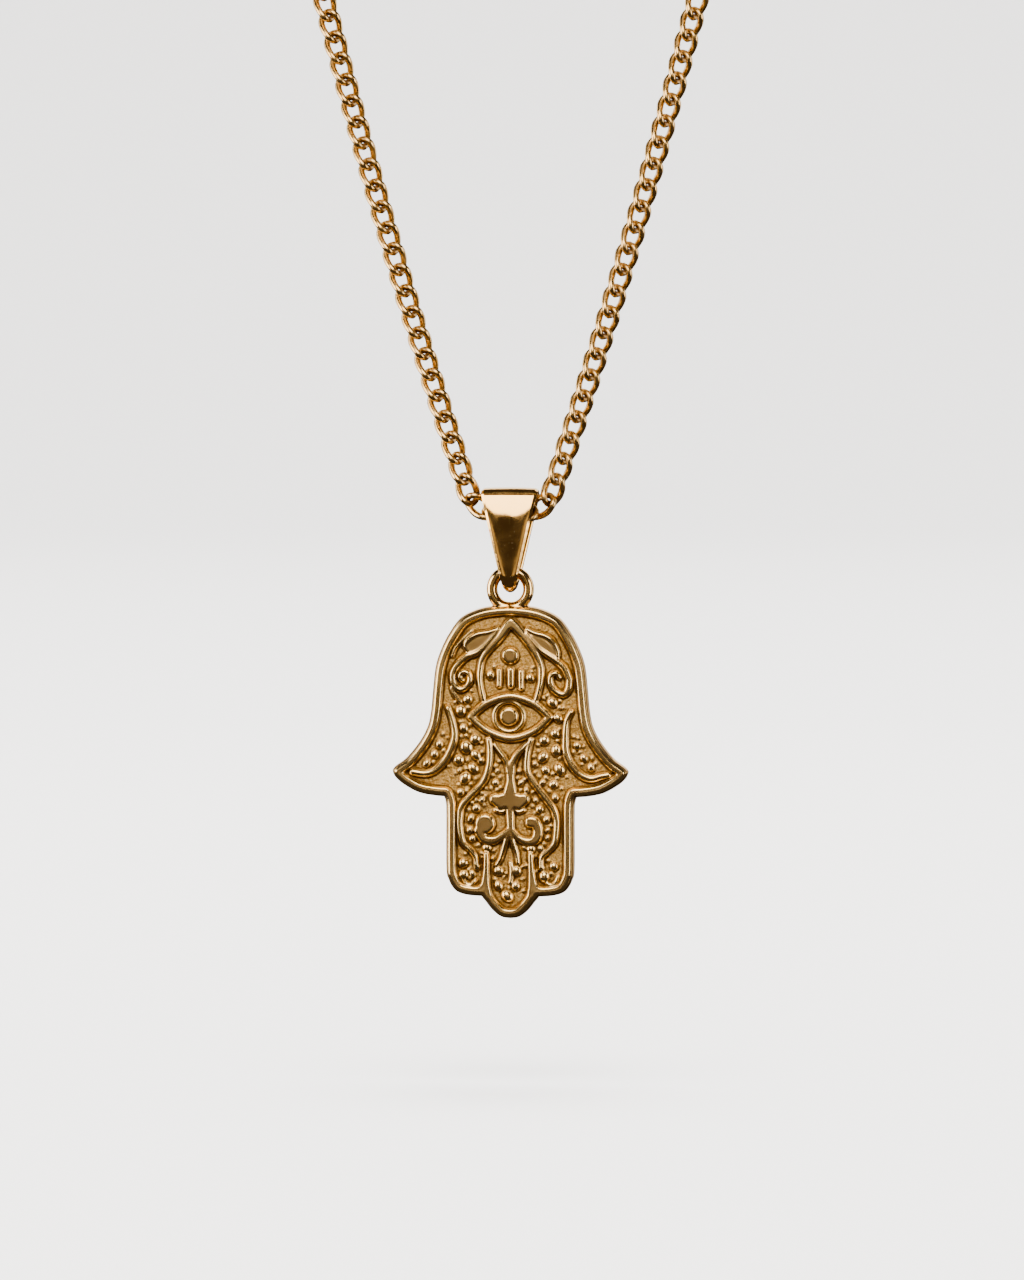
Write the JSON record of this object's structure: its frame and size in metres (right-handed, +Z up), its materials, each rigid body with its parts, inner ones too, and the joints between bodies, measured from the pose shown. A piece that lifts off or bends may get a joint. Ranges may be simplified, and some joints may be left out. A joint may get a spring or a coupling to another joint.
{
  "type": "pendant necklace",
  "caption": "Cast hand-shaped hamsa pendant with an eye and scrolls in relief, on a tapered bail and a closed curb chain.",
  "frame": {"origin": "middle of the underside of the clasp, at the top of the hanging loop, where the necklace lies on a neck or a peg", "axes": "+X to the right seen from the front, the front of the pendant looks to -Y, +Z up"},
  "size_m": [0.0958, 0.0044, 0.2588],
  "materials": {
    "cast_gold": "satin",
    "polished_gold": "polished",
    "chain_gold": "polished"
  },
  "bodies": {
    "chain": {"chain_left": "chain_gold", "chain_right": "chain_gold", "clasp": "polished_gold"},
    "bail": {"bail": "polished_gold"},
    "hand": {"hand": "cast_gold"}
  },
  "joints": [
    {"name": "bail_swing", "type": "hinge", "parent": "chain", "child": "bail", "pos_m": [0, 0, -0.21295], "axis": [1, 0, 0], "range_deg": [-35, 35]},
    {"name": "hand_swing", "type": "hinge", "parent": "bail", "child": "hand", "pos_m": [0, 0, -0.21956], "axis": [1, 0, 0], "range_deg": [-60, 60]}
  ]
}
